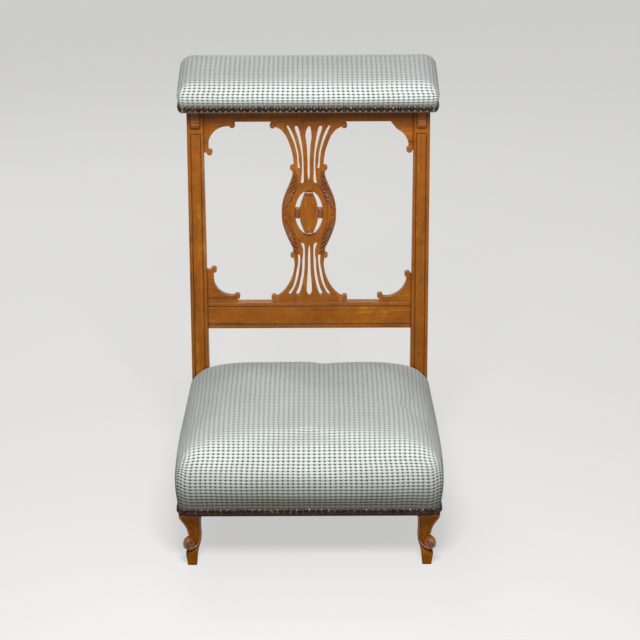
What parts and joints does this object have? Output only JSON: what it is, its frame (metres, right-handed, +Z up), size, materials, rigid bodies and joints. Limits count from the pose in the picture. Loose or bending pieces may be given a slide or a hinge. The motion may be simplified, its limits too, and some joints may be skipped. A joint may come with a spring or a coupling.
{
  "type": "prayer chair with padded kneeler",
  "caption": "Prayer chair: low padded kneeler on scrolled front legs, tall back with a pierced splat and scrolled corner brackets, and a sloping padded armrest, both pads nailed round the edge.",
  "frame": {"origin": "middle of the chair's outline, on the floor", "axes": "+X to the right seen from the kneeler side, +Y from the kneeler to the back, +Z up"},
  "size_m": [0.4756, 0.5096, 0.8186],
  "materials": {
    "polished_wood": "warm honey-brown polish over close-grained wood, darker in grooves and joints",
    "plain_wood": "unpolished",
    "woven_cover": "chunky pale blue-green and off-white weave",
    "stuffing": "cotton wadding",
    "jute": "coarse jute",
    "black_lining": "thin dull cloth",
    "antique_nail": "dark bronzed, rubbed brighter on the crowns",
    "screw_steel": "dull"
  },
  "bodies": {
    "root": {"left_back_post": "polished_wood", "right_back_post": "polished_wood", "top_rail": "polished_wood", "lower_back_rail": "polished_wood", "splat": "polished_wood", "upper_left_bracket": "polished_wood", "upper_right_bracket": "polished_wood", "lower_left_bracket": "polished_wood", "lower_right_bracket": "polished_wood", "left_armrest_corbel": "polished_wood", "right_armrest_corbel": "polished_wood", "left_front_leg": "polished_wood", "right_front_leg": "polished_wood", "seat_front_rail": "plain_wood", "seat_left_rail": "plain_wood", "seat_right_rail": "plain_wood", "seat_back_rail": "plain_wood", "front_left_corner_block": "plain_wood", "front_right_corner_block": "plain_wood", "back_left_corner_block": "plain_wood", "back_right_corner_block": "plain_wood", "armrest_board": "plain_wood", "seat_cover": "woven_cover", "armrest_cover": "woven_cover", "seat_stuffing": "stuffing", "armrest_stuffing": "stuffing", "seat_edge_wadding": "stuffing", "seat_long_webbing": "jute", "seat_cross_webbing": "jute", "seat_hessian": "jute", "seat_dust_cover": "black_lining", "seat_nails": "antique_nail", "armrest_nails": "antique_nail", "corner_block_screws": "screw_steel"}
  },
  "joints": []
}
